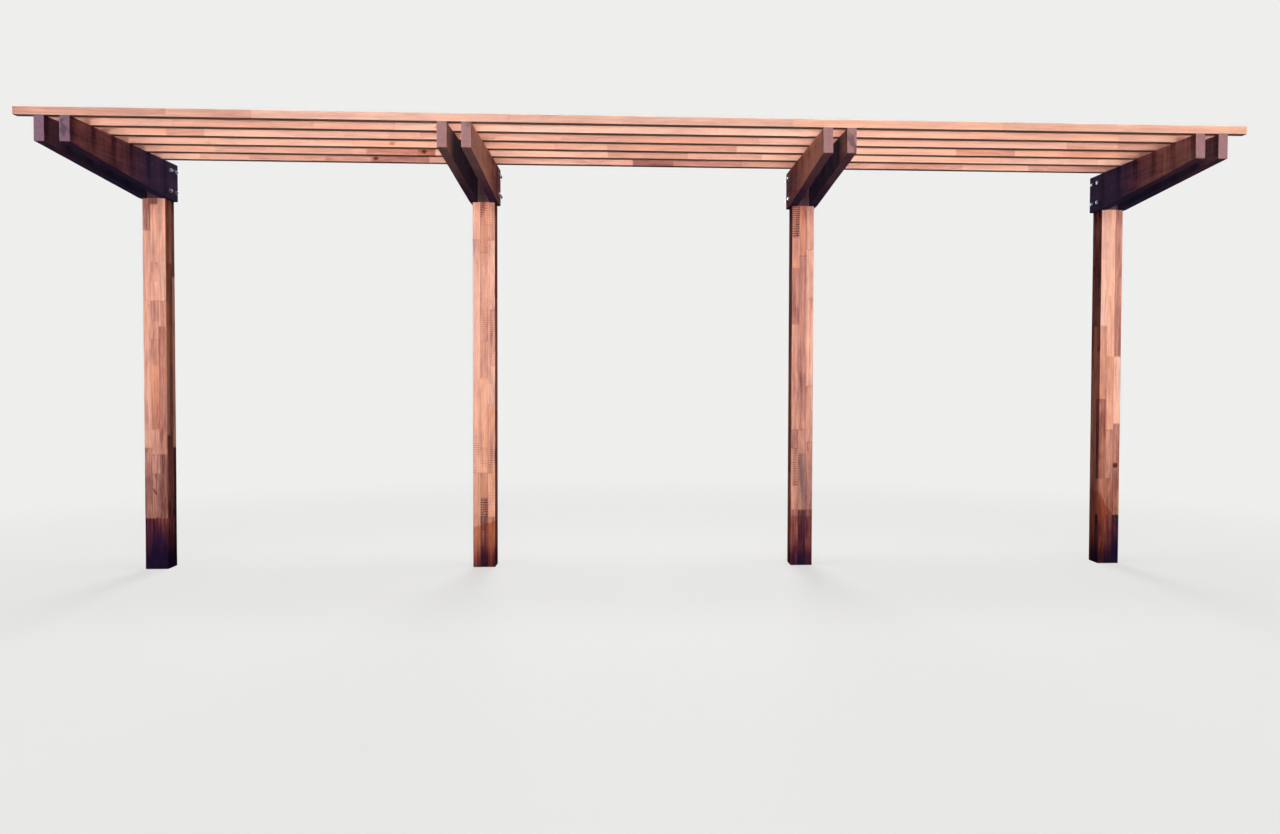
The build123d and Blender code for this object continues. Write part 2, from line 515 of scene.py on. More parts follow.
# knots in the front face, as (across, up from the ground, half width, half length, lean in degrees),
# and grey smears, which are given like the knots; all in millimetres
postKnots = {1: [(-7, 400, 7, 20, -25)], 4: [(33, 530, 14, 15, 0)]}
postSmears = {3: [(4, 450, 22, 240, -3)]}
postLook = {
    "arris": 4 * millimetre,
    "arrisWear": 0.49 * millimetre,
    "wearSeed": 40,
    "glueGroove": 0.35 * millimetre,
    "grooveWidth": 0.8 * millimetre,
    "rowSpacing": 0.03,
    "footEase": 1.2 * millimetre,
    "facePlaces": (0.0, 6.0, 12.0, 25.0, 38.0, 46.0),  # millimetres from the middle, besides the glue lines
    "tongueRows": 8,
    "rampTop": 2.1,  # height that the stave ramps cover, in metres
    "hiddenSeed": 7,  # for the staves at the back, which have a dark foot and then four lengths at random
    "hidden": {"foot": (0.25, 0.4), "footTones": (0.15, 0.5), "places": (0.3, 1.9), "tones": (0.42, 0.86)},
    "crossed": (0.85, 0.95),  # chatter at which the marks start to run on across the whole stave
    "tongueFade": (-1 * millimetre, 4 * millimetre),  # above the ledges
    "boardJumps": (3.1, 7.7, 23.0, 5.3),  # of the grain: by column, by row, by a length's tone and by post
    "jointLine": 0.0024,  # height of the dark line along a finger joint
    "glueLine": 1.1 * millimetre,
    "glueShare": 0.55,  # how dark a glue line is against an open finger joint
    "openJoints": (9.0, 0.42, 0.58, 0.15),  # cycles per metre, from where to where they open, and the least
    "runs": (70.0, 70.0, 6.0),  # streaky darkening of the top below the ledges: rain run-off stains and painted shade from the rafters
    "runReach": 0.10,  # metres below the ledges
    "soil": (0.13, 0.02),  # metres: where splashed soil starts and where it is full
    # how far each of these moves the tone
    "seamTone": -0.26,
    "runAndShadeTone": -0.22,
    "soilTone": -0.22,
    "drawnTone": -0.06,
    "smearTone": -0.05,
    # lighter arrises: wear and painted highlight
    "arrisTone": 0.05,
    "knotTone": {1: -0.12, 4: -0.26},
    "contrast": 1.35,
    "sideShade": 0.7,  # painted shade: the side faces are given the darker soaked colours
    # where a post is wet: the height of the line, its rise per metre across, how fast it darkens below
    "waterLine": {1: (0.262, 0.0, -1.3), 2: (0.226, 0.3, -0.3), 3: (0.264, 0.0, -0.2),
                  4: (0.295, -1.7, -0.55)},
    "smearColour": srgb(104, 86, 92),
    "smearShare": 0.7,
    "tongueShade": srgb(54, 42, 52),  # painted shade on the tongue, deep in the slot between the rafters
    "tongueShare": 0.9,
    "roughness": (0.55, 0.2, -0.15),  # of the plain timber, what the fibre adds and what damp adds
    "seamDepth": 2.0,
    "bump": (0.35, 0.0006),
    "specular": 0.0,  # any shine lays a grey veil over the faces that the camera sees at a slant
}
knotRim = (1.7, 1.1)  # where a knot starts and is full, in its own half sizes
smearRim = (1.7, 0.6)
columnNames = ("left", "middle", "right")
rowNames = ("front", "middle", "back", "outer")  # outer is the side face of a front stave


def hiddenStave(chance, look, top):
    places = np.sort(chance.uniform(*look["places"], 3))
    tones = chance.uniform(*look["tones"], 4)
    footPlace, footWarmth = look["foot"]
    foot = (footPlace, chance.uniform(*look["footTones"]), footWarmth)
    return [foot, *zip([*places, top], tones, chance.uniform(0, 1, 4))]


def makeStaveGroup(postNumber, look):
    # the tone of the stave that a point lies in: one ramp for each column of staves, with a lane for each row
    tree, put, given = newGroup(
        f"postStaves{postNumber}", {"X": 0.0, "Y": 0.0, "Height": 0.0, "Sideways": 0.0},
        ["Tone", "Warmth", "Chatter"])
    chance = np.random.default_rng(look["hiddenSeed"] + postNumber)
    top = look["rampTop"]
    row = held(maths("FLOOR", (given["Y"] + postSide / 2) / staveWidth), 0.0, 2.0)
    lane = given["Sideways"] * (row < 0.5) * 3.0 + row
    share = held(given["Height"] / top, laneEdge, 1 - laneEdge)
    factor = (lane + share) / float(len(rowNames))
    staves = postStaves[postNumber]
    tones = []
    for columnName in columnNames:
        stops = []
        for rowNumber, rowName in enumerate(rowNames):
            places = staves.get(f"{columnName} {rowName}")
            if rowName == "outer":
                places = places or staves.get(f"{columnName} middle") or staves[f"{columnName} front"][-4:]
            places = places or hiddenStave(chance, look["hidden"], top)
            for place, shade in tallied(places, top):
                stops.append(((rowNumber + place) / len(rowNames), shade))
        tones.append(ramp(put, factor, stops, "CONSTANT"))
    leftPart = blend(put, given["X"] > -staveWidth / 2, tones[0], tones[1])
    shown = splitColour(put, blend(put, given["X"] > staveWidth / 2, leftPart, tones[2]))
    put("NodeGroupOutput", dict(zip(("Tone", "Warmth", "Chatter"), shown)))
    return tree


def glueMask(value, width):
    # 1 on the two thin lines where three staves meet, 0 elsewhere
    total = 0.0
    for place in (-staveWidth / 2, staveWidth / 2):
        total = maths("ADD", remap(abs(value - place), width, 0.0), total, clamp=True)
    return total


def frontSpots(places):
    # knots or smears written in millimetres, as places, half sizes and leans on a post's front face
    spots = []
    for across, up, halfWide, halfLong, lean in places:
        halves = (halfWide * millimetre, 2 * halfWide * millimetre, halfLong * millimetre)
        spots.append(((across * millimetre, -postSide / 2, up * millimetre), halves, lean))
    return spots


def knotMask(put, local, knots, rim=knotRim):
    # 1 inside each knot, fading out at a slightly uneven rim; a knot is (place, half sizes, lean in degrees)
    uneven = noise(put, local, 140.0)
    total = 0.0
    for spot, halves, lean in knots:
        turn = (0.0, math.radians(lean), 0.0)
        inside = put("ShaderNodeMapping", {"Vector": local, "Location": spot, "Rotation": turn,
                                           "Scale": halves}, vector_type="TEXTURE")[0]
        total = maths("ADD", remap(lengthOf(put, inside) + uneven, *rim), total, clamp=True)
    return total


def postMaterial(postNumber, look):
    centre = postCentres[postNumber - 1]
    material, put, local, x, y, z = newTimber(f"postTimber{postNumber}", (centre[0], centre[1], 0.0))
    # fingers run across a face, so the saw line follows whichever of X and Y changes there
    jointed = useGroup(put, fingerGroup, {"Along": z, "Across": x + y})["Along"]
    staves = makeStaveGroup(postNumber, look)
    # on the side faces a point lies further out than half way round the rounded edge
    sideways = abs(x) > postSide / 2 - halfRound * look["arris"]
    at = {"X": x, "Y": y, "Sideways": sideways}
    stave = useGroup(put, staves, {**at, "Height": jointed})
    above = useGroup(put, staves, {**at, "Height": jointed + look["jointLine"]})
    joint = abs(stave["Tone"] - above["Tone"]) > toneStep
    # every stave is a board of its own, so the grain jumps from one to the next
    byColumn, byRow, byTone, byPost = look["boardJumps"]
    column = maths("FLOOR", (x + postSide / 2) / staveWidth)
    row = maths("FLOOR", (y + postSide / 2) / staveWidth)
    board = column * byColumn + row * byRow + (stave["Tone"] * byTone + postNumber * byPost)
    crossed = remap(stave["Chatter"], *look["crossed"])
    grain = useGroup(put, grainGroup, {"Vector": local, "Board": board, "Crossed": crossed})
    glue = largest(glueMask(x, look["glueLine"]), glueMask(y, look["glueLine"]))
    # some joints have opened to a dark line and some can hardly be seen
    cycles, closed, wideOpen, least = look["openJoints"]
    opened = remap(noise(put, local, cycles), closed, wideOpen, least, 1.0)
    lineHeight, lineTilt, deepening = look["waterLine"][postNumber]
    damp = useGroup(put, dampGroup, {"Vector": local, "Height": z, "Line": x * lineTilt + lineHeight})
    dryJoint = joint - joint * damp["Damp"]
    seam = largest(glue * look["glueShare"], dryJoint * opened)
    # darker top below the ledges: run-off stains together with painted shade from the rafters
    runOffAndShade = remap(z, shoulderHeight - look["runReach"], shoulderHeight) * noise(put, local, look["runs"])
    tone = stave["Tone"] + runOffAndShade * look["runAndShadeTone"] + damp["Above"] * look["drawnTone"]
    tone = tone + damp["Depth"] * deepening + remap(z, *look["soil"]) * look["soilTone"]
    tone = tone + arrisOf(put) * look["arrisTone"] + seam * look["seamTone"]
    # painted shade: side faces take the darker soaked colours
    soaked = largest(damp["Damp"], sideways * look["sideShade"])
    if postNumber in postKnots:
        knots = knotMask(put, local, frontSpots(postKnots[postNumber]))
        tone = tone + knots * look["knotTone"][postNumber]
        soaked = largest(soaked, knots)
    if postNumber in postSmears:
        smears = knotMask(put, local, frontSpots(postSmears[postNumber]), smearRim)
        tone = tone + smears * look["smearTone"]
    shown = timberColour(put, grain, tone, stave["Warmth"], look["contrast"], soaked,
                         grain["Ladder"] * stave["Chatter"])
    if postNumber in postSmears:
        shown = blend(put, smears * look["smearShare"], shown, look["smearColour"])
    # painted shade: the tongue above the ledges, in the slot between the rafters, is darkened
    onTongue = remap(z - shoulderHeight, *look["tongueFade"])
    shown = blend(put, onTongue * look["tongueShare"], shown, look["tongueShade"])
    plain, fibrous, damped = look["roughness"]
    roughness = grain["Fibre"] * fibrous + damp["Damp"] * damped + plain
    height = grain["Height"] - seam * look["seamDepth"]
    finishMaterial(put, shown, roughness, height, look)
    return material


# battens: one finger-jointed length after another: (metres along the row that it reaches, tone, warmth)
battenLengths = {
    1: [(0.45, 0.75, 0), (0.8, 0.8, 0), (1.9, 0.9, 0), (3.12, 0.85, 0), (4.06, 0.95, 0.6),
        (4.36, 0.9, 0.6), (4.63, 0.9, 0.2), (5.2, 0.95, 0.6)],
    2: [(0.41, 0.85, 0.1), (1.02, 0.8, 0.1), (1.38, 0.85, 0.3), (1.94, 0.95, 0), (2.14, 1, 0),
        (2.8, 0.95, 0), (3.3, 1, 0), (4.02, 0.95, 0.4), (4.66, 0.9, 0.5), (5.2, 0.85, 0.3)],
    3: [(0.31, 0.9, 0.5), (0.48, 0.75, 0), (1.3, 0.9, 0), (1.46, 0.85, 0.4), (1.78, 0.8, 0.2),
        (2.1, 0.85, 0.3), (3.02, 0.8, 0.3), (3.26, 0.9, 0), (4.5, 0.9, 0.1), (4.75, 0.8, 0.2),
        (5.2, 0.7, 0)],
    4: [(0.43, 0.9, 0.2), (1.1, 0.95, 0.4), (1.46, 1, 1), (2.06, 0.9, 0.5), (2.3, 0.85, 0.3),
        (2.94, 0.8, 0.4), (3.28, 0.95, 0.2), (4.01, 0.95, 0.3), (4.22, 0.8, 0.8), (4.3, 0.75, 0.6),
        (4.55, 0.9, 0.7), (5.2, 0.85, 0.8)],
    5: [(0.4, 0.9, 0.5), (1.12, 0.8, 0), (1.38, 0.65, 0.7), (1.45, 0.55, 1), (2.08, 0.95, 0.1),
        (2.3, 0.9, 0), (2.7, 0.75, 0.3), (3.07, 0.85, 0.1), (3.75, 1, 0.4), (4.3, 0.95, 0.4),
        (4.49, 0.9, 0), (4.66, 0.95, 0), (4.8, 0.9, 0), (5.2, 1, 0)],
    6: [(0.25, 0.95, 0), (0.5, 0.8, 0), (0.66, 0.75, 0), (0.88, 0.75, 0.3), (1.11, 0.7, 0.1),
        (1.4, 0.55, 0), (2.44, 0.8, 0), (2.63, 0.5, 0.3), (2.99, 0.65, 0.3), (3.25, 0.7, 0),
        (4.16, 0.75, 0), (4.52, 0.85, 0.2), (4.62, 0.75, 0), (5.2, 0.7, 0.1)],
}
battenKnots = {2: [1.572, 3.30], 4: [1.293], 5: [1.41], 6: [1.133]}  # dark knots in the front face
battenLook = {
    "arris": 2.5 * millimetre,
    "endEase": 0.8 * millimetre,
    "rowSpacing": 0.045,
    "wander": 0.5 * millimetre,  # how far the sawn faces stand in from dead straight
    "wanderLength": 1.9,
    "wanderSeed": 90,
    "sinkRadius": 5.5 * millimetre,  # countersink for the screws
    "sinkDepth": 0.9 * millimetre,
    "sinkEdge": 1.0 * millimetre,
    "sinkPlaces": (-7, -5.5, -4.5, -3, 0, 3, 4.5, 5.5, 7),  # millimetres from the screw
    "sinkClear": 6 * millimetre,  # nearer to a screw than this only its own rings of points are kept
    "outerPlaces": (-18.5, -14, -10, 10, 14, 18.5),  # millimetres from the middle of the top
    "facePlaces": 7,
    "fingerLength": 0.009,
    "jointLine": 0.002,
    "boardJumps": (31.0, 2.3),  # of the grain: by a length's tone and by batten
    "knotHalves": (0.014, 0.020, 0.010),
    # how far each of these moves the tone
    "toneShift": -0.035,
    "jointTone": -0.14,
    "knotTone": -0.30,
    # lighter arrises: wear and painted highlight
    "arrisTone": 0.06,
    "contrast": 0.85,
    "underShadeColour": srgb(62, 38, 40),  # painted shade on the undersides
    "underShadeShare": 0.8,
    "underShadeFade": 0.3 * millimetre,
    "roughness": (0.52, 0.2),
    "bump": (0.3, 0.0005),
    "specular": 0.01,
}


def battenMaterial(battenNumber, look, low, high):
    middle = (low + high) / 2
    run = high[0] - low[0]
    material, put, local, x, y, z = newTimber(f"battenTimber{battenNumber}", (low[0], middle[1], middle[2]))
    jointed = useGroup(put, fingerGroup, {"Along": x, "Across": z, "Length": look["fingerLength"]})["Along"]
    lengths = [(reach - low[0], tone, warmth) for reach, tone, warmth in battenLengths[battenNumber]]
    stops = tallied(lengths, run)
    tone, warmth, chatter = splitColour(put, ramp(put, jointed / run, stops, "CONSTANT"))
    toneOnward = splitColour(put, ramp(put, (jointed + look["jointLine"]) / run, stops, "CONSTANT"))[0]
    joint = abs(tone - toneOnward) > toneStep
    byTone, byBatten = look["boardJumps"]
    board = tone * byTone + battenNumber * byBatten
    grain = useGroup(put, grainGroup, {"Vector": join(put, y, z, x), "Board": board})
    lined = tone + look["toneShift"] + arrisOf(put) * look["arrisTone"] + joint * look["jointTone"]
    spots = []
    for spot in battenKnots.get(battenNumber, ()):
        spots.append(((spot - low[0], low[1] - middle[1], 0.0), look["knotHalves"], 0))
    if spots:
        lined = lined + knotMask(put, local, spots) * look["knotTone"]
    shown = timberColour(put, grain, lined, warmth, look["contrast"], ladder=grain["Ladder"] * chatter)
    # the underside starts half way round the lower edges
    bottom = (high[2] - low[2]) / 2 - halfRound * look["arris"]
    # painted shade: the underside is darkened towards the underside shade colour
    below = remap(z, -bottom, -bottom - look["underShadeFade"], 0.0, look["underShadeShare"])
    shown = blend(put, below, shown, look["underShadeColour"])
    plain, fibrous = look["roughness"]
    finishMaterial(put, shown, grain["Fibre"] * fibrous + plain, grain["Height"] - joint, look)
    return material


# rafters: one board each, darker than the posts: drip stains together with painted batten shadow in stripes
# under the battens, and painted shade towards the heel, on the undersides and on the faces in the slot
rafterLook = {
    "arris": 2.5 * millimetre,
    "endEase": 0.8 * millimetre,
    "tipDepth": 0.110,
    "levelRun": 0.005,  # level underside in front of the post
    "rowSpacing": 0.035,
    "heelSpacing": 0.03,
    "facePlaces": (6, 14),  # points across the edge and down the face
    "wander": 0.5 * millimetre,
    "wearSeed": 70,
    # for each board: its tone at the tip, its tone at the heel, how far back the blue-black painted heel
    # shade starts, and how weathered the whole board is, 0 to 1; the fall from tip to heel tone is painted
    # shade, and tip tones above 1 paint a sheen
    "boards": {"1_left": (0.55, 0.30, 0.40, 1.0), "1_right": (0.55, 0.35, 0.40, 1.0),
               "2_left": (1.05, 0.45, 0.60, 0.0), "2_right": (1.15, 0.50, 0.60, 0.0),
               "3_left": (0.95, 0.50, 0.45, 0.2), "3_right": (0.85, 0.45, 0.45, 0.2),
               "4_left": (0.72, 0.20, 0.35, 0.8), "4_right": (0.68, 0.20, 0.35, 0.8)},
    "boardJump": 3.3,
    "dimTips": ("1_left", "1_right"),
    "fadeRange": (0.1, 1.0),  # metres from the tip
    "drips": (20.0, 75.0, 5.0),  # stretched down the face, across the grain
    "dripDetail": 3.0,
    "shadeStainHalf": (0.034, 0.0136),  # from the middle of a batten: where its shadow stripe starts and where it is full
    "shadeStainDrop": (-0.16, -0.02),  # the same, in metres from the top edge
    "shadeStainWander": 0.05,
    # how far each of these moves the tone
    "underShadeTone": -0.20,
    "dripTone": 0.45,
    "shadeStainTone": -0.10,
    # lighter arrises: wear and painted highlight
    "arrisTone": 0.05,
    "contrast": 0.9,
    "warmth": (0.4, -0.3),  # of a fresh board, and what weather adds
    "soaked": 0.5,  # of a weathered board
    "redness": (1.0, 0.86, 0.88, 1.0),  # the faces' colour is multiplied by this
    "heelShade": srgb(74, 66, 102),  # painted blue-black shade, growing towards the heel
    "heelShadeSpread": 0.45,  # metres over which the stain grows
    "heelShadeWander": 0.3,
    # the share of it at its start and at its full: on a fresh board, and what weather adds
    "heelShadeShare": ((0.0, 0.35), (0.25, 0.6)),
    "slotShade": srgb(60, 58, 84),  # painted shade on the face towards the other rafter of the pair
    "slotRange": (-0.05, 0.25, 0.2, 0.9),  # metres from the tip, and the share there
    # painted shade on the underside
    "underShade": srgb(50, 42, 72),
    "underShadeShare": 0.75,
    "underShadeFade": (1.5 * millimetre, 0.8 * millimetre),  # above the underside
    "roughness": (0.55, 0.2),
    "bump": (0.35, 0.0006),
    "specular": 0.0,  # any shine lays a grey veil over the faces that the camera sees at a slant
}


def rafterMaterial(name, look, low, high):
    fullDepth = high[2] - low[2]
    origin = ((low[0] + high[0]) / 2, low[1], high[2])
    material, put, local, x, y, z = newTimber(f"rafterTimber{name}", origin)
    board = list(look["boards"]).index(name) * look["boardJump"]
    grain = useGroup(put, grainGroup, {"Vector": join(put, x, z, y), "Board": board})
    tipTone, heelTone, heelShadeStart, weathered = look["boards"][name]
    # the underside: points within a hair of the board's depth, which grows from the tip to the post
    taper = (fullDepth - look["tipDepth"]) / (postLow[1] - look["levelRun"] - low[1])
    depth = maths("MINIMUM", y * taper + look["tipDepth"], fullDepth)
    # painted shade: the underside is darkened in tone and towards the underside shade colour
    below = remap(depth + z, *look["underShadeFade"])
    # drips run straight down the faces, so this noise is stretched the other way from the grain
    drips = noise(put, local, look["drips"], look["dripDetail"]) - 0.5
    # stripes under each batten: drip stains and painted batten shadow
    along = (y - (battenCentres[0][1] - low[1])) / battenPitch
    fromBatten = abs(along - maths("ROUND", along)) * battenPitch
    under = remap(drips * look["shadeStainWander"] + fromBatten, *look["shadeStainHalf"])
    shadeStain = under * remap(z, *look["shadeStainDrop"])
    # painted shade: the tone falls from the tip to the heel
    fade = remap(y, *look["fadeRange"], tipTone, heelTone)
    tone = fade + drips * look["dripTone"] + shadeStain * look["shadeStainTone"]
    tone = tone + below * look["underShadeTone"] + arrisOf(put) * look["arrisTone"]
    fresh, byWeather = look["warmth"]
    shown = timberColour(put, grain, tone, fresh + byWeather * weathered, look["contrast"],
                         look["soaked"] * weathered)
    shown = blend(put, 1.0, shown, look["redness"], "MULTIPLY")
    # painted shade: blue-black, growing from its start towards the heel
    least, most = [plain + added * weathered for plain, added in look["heelShadeShare"]]
    heelShadeAmount = remap(drips * look["heelShadeWander"] + y, heelShadeStart, heelShadeStart + look["heelShadeSpread"], least, most)
    shown = blend(put, heelShadeAmount, shown, look["heelShade"])
    # painted shade: the face towards the other rafter of the pair is darkened all over, a little less near
    # the tip
    towardsPair = x * (1.0 if name.endswith("left") else -1.0)
    slotFace = towardsPair > (high[0] - low[0]) / 2 - halfRound * look["arris"]
    shown = blend(put, slotFace * remap(y, *look["slotRange"]), shown, look["slotShade"])
    shown = blend(put, below * look["underShadeShare"], shown, look["underShade"])
    plain, fibrous = look["roughness"]
    finishMaterial(put, shown, grain["Fibre"] * fibrous + plain, grain["Height"], look)
    return material


# end grain: darker and greyer than the faces, because it drinks the oil
# each has its pale and dark colour, which of X, Y and Z run across, up and along, and its rings in a metre
endLooks = {
    "postEnd": (srgb(170, 118, 104), srgb(104, 66, 60), (0, 1, 2), 170.0),
    "rafterEnd": (srgb(180, 136, 136), srgb(140, 98, 100), (0, 2, 1), 230.0),
    # the end grain of pair 1, dimmer and more mauve
    "rafterEndDim": (srgb(148, 116, 132), srgb(104, 76, 92), (0, 2, 1), 230.0),
    "battenEnd": (srgb(196, 140, 120), srgb(130, 84, 74), (1, 2, 0), 260.0),
}
endFinish = {
    "ringShare": 0.35,  # the rest of the mottle is cloudy
    "cloud": (60.0, 4.0),
    "checkColour": srgb(58, 34, 34),
    "checkShare": 0.5,
    "roughness": 0.75,
    "bump": (0.4, 0.0006),
    "specular": 0.15,
}


def endMaterial(name, board, look=endFinish):
    pale, dark, ways, rings = endLooks[name]
    material, put, place = newMaterial(f"{name}{board}")
    parts = split(put, place)
    turned = join(put, *[parts[way] for way in ways])
    grain = useGroup(put, endGrainGroup, {"Vector": turned, "Board": float(board), "Rings": rings})
    cloudy = noise(put, place, *look["cloud"]) * (1 - look["ringShare"])
    base = blend(put, grain["Rings"] * look["ringShare"] + cloudy, dark, pale)
    shown = blend(put, grain["Checks"] * look["checkShare"], base, look["checkColour"])
    finishMaterial(put, shown, look["roughness"], grain["Height"], look)
    return material


# galvanised steel: dull zinc, its colours darkened partly as painted shade, with a faint spangle, a little
# rust where the zinc is thin
zincLook = {
    "pale": srgb(126, 128, 140),
    "dull": srgb(72, 74, 86),
    "rust": srgb(104, 62, 42),
    "spangle": 260.0,
    "cloud": (90.0, 4.0),
    "mix": (0.45, 0.5),  # of the spangle and of the cloud
    "rustRange": (0.62, 0.74, 0.0, 0.5),
    "roughness": (0.42, 0.58),
    "bump": (0.2, 0.0002),
    "specular": 0.5,
    "metallic": 0.9,
}


def zincMaterial(look):
    material, put, place = newMaterial("galvanisedSteel")
    spangle = put("ShaderNodeTexVoronoi", {"Vector": place, "Scale": look["spangle"]})["Color"]
    tint = splitColour(put, spangle)[0]
    cloud = noise(put, place, *look["cloud"])
    bySpangle, byCloud = look["mix"]
    zinc = blend(put, tint * bySpangle + cloud * byCloud, look["dull"], look["pale"])
    shown = blend(put, remap(cloud, *look["rustRange"]), zinc, look["rust"])
    finishMaterial(put, shown, remap(tint, 0.0, 1.0, *look["roughness"]), cloud, look)
    return material


# mesh helpers

def gridQuads(rows, columns):
    # quads of a rows by columns grid of points whose last column joins the first
    row, column = np.meshgrid(np.arange(rows - 1), np.arange(columns), indexing="ij")
    onward = (column + 1) % columns
    return np.stack([row * columns + column, row * columns + onward,
                     (row + 1) * columns + onward, (row + 1) * columns + column], axis=-1).reshape(-1, 4)


def tubeFaces(rows, columns):
    # quads of a closed tube, and the two many-sided faces that shut its ends
    ends = np.arange(columns)
    return [*gridQuads(rows, columns), ends[::-1], (rows - 1) * columns + ends]


def surface(x, y, z):
    # rows and columns of points, where x, y and z are whole grids, single rows or single columns
    return np.stack(np.broadcast_arrays(x, y, z), axis=-1).astype(float)


def rectangle(halfWide, halfTall, wide, tall):
    # the four sides, anticlockwise from the lower one, each as points at the given places
    return [np.stack([wide, np.full(len(wide), -halfTall)], -1),
            np.stack([np.full(len(tall), halfWide), tall], -1),
            np.stack([wide[::-1], np.full(len(wide), halfTall)], -1),
            np.stack([np.full(len(tall), -halfWide), tall[::-1]], -1)]


def sectionRing(halfWide, halfTall, radius, wide, tall, arcSteps=4):
    # Points round a rectangle with quarter-circle corners, anticlockwise: along each side at the given
    # places, then round the corner, (cos, sin) of evenly spaced angles times the radius.
    sides = rectangle(halfWide, halfTall, wide, tall)
    pieces = []
    arris = []
    for side, (signU, signV) in enumerate([(1, -1), (1, 1), (-1, 1), (-1, -1)]):
        angles = math.radians(90) * (side - 1 + np.arange(1, arcSteps) / arcSteps)
        corner = np.array([signU * (halfWide - radius), signV * (halfTall - radius)])
        pieces += [sides[side], corner + radius * np.stack([np.cos(angles), np.sin(angles)], -1)]
        along = np.zeros(len(sides[side]))
        along[[0, -1]] = nearArris
        arris += [along, np.ones(arcSteps - 1)]
    return np.concatenate(pieces), np.concatenate(arris)


def evenPlaces(half, count):
    return np.linspace(-half, half, count)


def squeezeOf(stations, ease):
    # how far the first and last ring stand in, which eases the ends
    return np.where((stations == stations[0]) | (stations == stations[-1]), ease, 0.0)[:, None]


def makePiece(name, points, faces, materials, ends=0, arris=None, sharp=38):
    # the last faces, as many as ends says, have the second material
    mesh = bpy.data.meshes.new(name)
    mesh.from_pydata(points.reshape(-1, 3).tolist(), [], [face.tolist() for face in faces])
    for material in materials:
        mesh.materials.append(material)
    isEnd = np.arange(len(faces)) >= len(faces) - ends
    mesh.polygons.foreach_set("material_index", isEnd.astype(np.int32))
    mesh.polygons.foreach_set("use_smooth", np.ones(len(faces), dtype=bool))
    mesh.update()
    mesh.set_sharp_from_angle(angle=math.radians(sharp))
    if arris is not None:
        layer = mesh.attributes.new("arris", "FLOAT", "POINT")
        layer.data.foreach_set("value", np.asarray(arris, dtype=np.float32))
    piece = bpy.data.objects.new(name, mesh)
    bpy.context.collection.objects.link(piece)
    return piece


def wearEdges(points, ways, ring, ringArris, stations, amount, chance):
    # Each long edge stands in by slow wear along it: two sine waves of the distance with their own phases,
    # the low half cut off. The ways are the two axes that the ring lies in.
    for corner in ((1, 1), (1, -1), (-1, 1), (-1, -1)):
        onEdge = np.all(np.sign(ring) * (ringArris == 1)[:, None] == corner, axis=1)
        lengths = chance.uniform(*wearLengths, 2)
        phases = chance.uniform(0, math.tau, 2)
        turns = [math.tau * stations / length + phase for length, phase in zip(lengths, phases)]
        wear = amount * np.clip(np.sin(turns).sum(axis=0), 0, None) / 2
        for way, sign in zip(ways, corner):
            points[:, onEdge, way] -= wear[:, None] * sign


def weld(points, faces, arris):
    # points that lie in one place become one point, and the faces follow
    keys = np.round(points / closeBy).astype(np.int64)
    unique, first, back = np.unique(keys, axis=0, return_index=True, return_inverse=True)
    back = back.reshape(-1)
    kept = np.zeros(len(unique))
    np.maximum.at(kept, back, arris)
    return points[first], [back[face] for face in faces], kept


def sideRun(ring, side, limit):
    # the points of a ring that lie beyond the limit on one side, in the order in which they follow
    run = np.flatnonzero(side * ring[:, 0] >= limit - closeBy)
    gaps = np.flatnonzero(np.diff(run) > 1)
    return np.roll(run, -(gaps[0] + 1)) if len(gaps) else run


def groove(part, half, look):
    # the glue lines between staves are a hair below the planed faces, front, back and sides
    for face, across in ((0, 1), (1, 0)):
        onFace = np.abs(np.abs(part[..., face]) - half) < closeBy
        onLine = np.abs(np.abs(part[..., across]) - staveWidth / 2) < closeBy
        part[..., face] -= np.where(onFace & onLine, np.sign(part[..., face]) * look["glueGroove"], 0)


